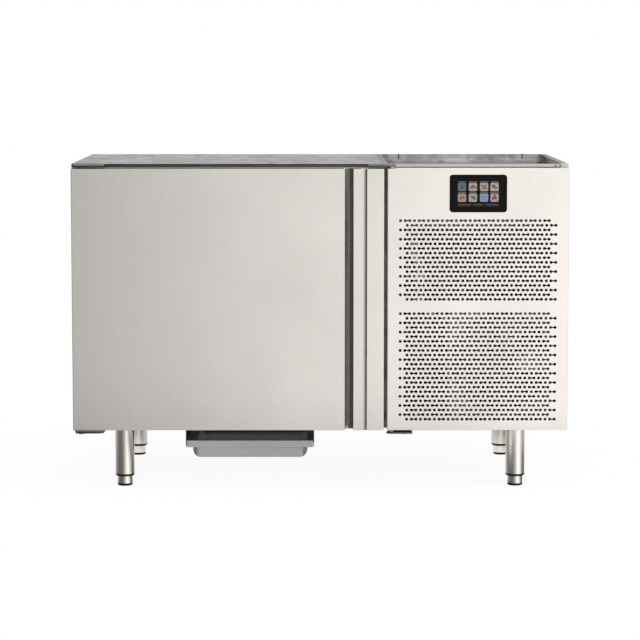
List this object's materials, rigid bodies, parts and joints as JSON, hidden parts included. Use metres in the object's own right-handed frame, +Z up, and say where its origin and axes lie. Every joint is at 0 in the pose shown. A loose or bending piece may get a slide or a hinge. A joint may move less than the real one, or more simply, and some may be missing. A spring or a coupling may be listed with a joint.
{
  "type": "undercounter blast chiller",
  "caption": "Insulated stainless chilling cabinet with a hinged door, perforated hinged service panel with display, legs and a sliding condensate tray.",
  "frame": {"origin": "on the floor, at the middle of the outline", "axes": "+X to the right along the width, +Y from the front to the back, +Z up; the door and the display face -Y"},
  "size_m": [1.25, 0.7, 0.82],
  "materials": {
    "stainless": "brushed, vertical grain",
    "front_steel": "fine vertical brushing",
    "polished_liner": "smooth satin",
    "galvanised": "zinc spangle",
    "zinc_plated": "zinc plated",
    "foam": "closed-cell rigid foam",
    "grey_plastic": "moulded",
    "white_plastic": "moulded",
    "black_plastic": "moulded",
    "bush_plastic": "turned",
    "black_glass": "gloss front",
    "board": "circuit board and housing",
    "gasket_rubber": "soft",
    "black_rubber": "soft",
    "black_enamel": "semi-gloss",
    "dark_paint": "matt",
    "grey_paint": "powder coat",
    "blue_paint": "gloss",
    "copper": "drawn copper",
    "brass": "turned",
    "fins": "mill finish",
    "fan_blade": "pressed",
    "wire": "plated wire",
    "magnet": "cased magnet"
  },
  "bodies": {
    "cabinet": {"outer_casing": "stainless", "insulation_foam": "foam", "inner_liner": "polished_liner", "front_frame": "stainless", "breaker_frame": "grey_plastic", "top_sheet": "galvanised", "divider_wall": "galvanised", "right_side_wall": "stainless", "base_pan": "galvanised", "back_panel": "galvanised", "front_rim": "stainless", "casing_screws": "zinc_plated", "compressor": "black_enamel", "compressor_mounts": "black_rubber", "condenser_coil": "fins", "condenser_shroud": "galvanised", "condenser_fan_motor": "black_enamel", "liquid_receiver": "black_enamel", "filter_drier": "blue_paint", "refrigerant_pipes": "copper", "electrical_box": "grey_paint", "cable_gland": "black_plastic", "fan_cover": "polished_liner", "fan_guards": "wire", "evaporator_coil": "fins", "evaporator_fan_motors": "black_enamel", "drip_tray": "polished_liner", "drain_pipe": "white_plastic", "tray_racks": "polished_liner", "tray_rails": "dark_paint", "legs": "stainless", "leg_inserts": "black_plastic", "door_hinges": "zinc_plated", "panel_hinges": "zinc_plated", "panel_magnets": "magnet"},
    "door": {"door_skin": "front_steel", "door_grip": "front_steel", "door_foam": "foam", "door_liner": "polished_liner", "door_gasket": "gasket_rubber", "door_caps": "black_plastic", "door_bushes": "bush_plastic", "door_bearing_plate": "zinc_plated"},
    "service_panel": {"service_panel": "front_steel", "display_bezel": "black_plastic", "display_glass": "black_glass", "display_module": "board", "panel_bushes": "brass"},
    "condensate_tray": {"condensate_tray": "stainless"},
    "condenser_fan": {"condenser_fan_blade": "fan_blade"},
    "evaporator_fan_left": {"evaporator_fan_blade_left": "fan_blade"},
    "evaporator_fan_right": {"evaporator_fan_blade_right": "fan_blade"},
    "levelling_foot_front_left": {"foot_front_left": "stainless", "foot_pad_front_left": "black_rubber"},
    "levelling_foot_front_right": {"foot_front_right": "stainless", "foot_pad_front_right": "black_rubber"},
    "levelling_foot_back_left": {"foot_back_left": "stainless", "foot_pad_back_left": "black_rubber"},
    "levelling_foot_back_right": {"foot_back_right": "stainless", "foot_pad_back_right": "black_rubber"}
  },
  "joints": [
    {"name": "door_hinge", "type": "hinge", "parent": "cabinet", "child": "door", "pos_m": [-0.6025, -0.3265, 0.48], "axis": [0, 0, -1], "range_deg": [0, 110]},
    {"name": "service_panel_hinge", "type": "hinge", "parent": "cabinet", "child": "service_panel", "pos_m": [0.1788, -0.3359, 0.48], "axis": [0, 0, -1], "range_deg": [0, 95]},
    {"name": "condensate_tray_slide", "type": "slide", "parent": "cabinet", "child": "condensate_tray", "axis": [0, -1, 0], "range_m": [0, 0.35]},
    {"name": "condenser_fan_spin", "type": "hinge", "parent": "cabinet", "child": "condenser_fan", "pos_m": [0.462, -0.188, 0.31], "axis": [0, 1, 0], "continuous": true},
    {"name": "evaporator_fan_left_spin", "type": "hinge", "parent": "cabinet", "child": "evaporator_fan_left", "pos_m": [-0.395, 0.1675, 0.485], "axis": [0, -1, 0], "continuous": true},
    {"name": "evaporator_fan_right_spin", "type": "hinge", "parent": "cabinet", "child": "evaporator_fan_right", "pos_m": [-0.075, 0.1675, 0.485], "axis": [0, -1, 0], "continuous": true},
    {"name": "foot_front_left_adjust", "type": "slide", "parent": "cabinet", "child": "levelling_foot_front_left", "axis": [0, 0, -1], "range_m": [0, 0.03]},
    {"name": "foot_front_right_adjust", "type": "slide", "parent": "cabinet", "child": "levelling_foot_front_right", "axis": [0, 0, -1], "range_m": [0, 0.03]},
    {"name": "foot_back_left_adjust", "type": "slide", "parent": "cabinet", "child": "levelling_foot_back_left", "axis": [0, 0, -1], "range_m": [0, 0.03]},
    {"name": "foot_back_right_adjust", "type": "slide", "parent": "cabinet", "child": "levelling_foot_back_right", "axis": [0, 0, -1], "range_m": [0, 0.03]}
  ]
}
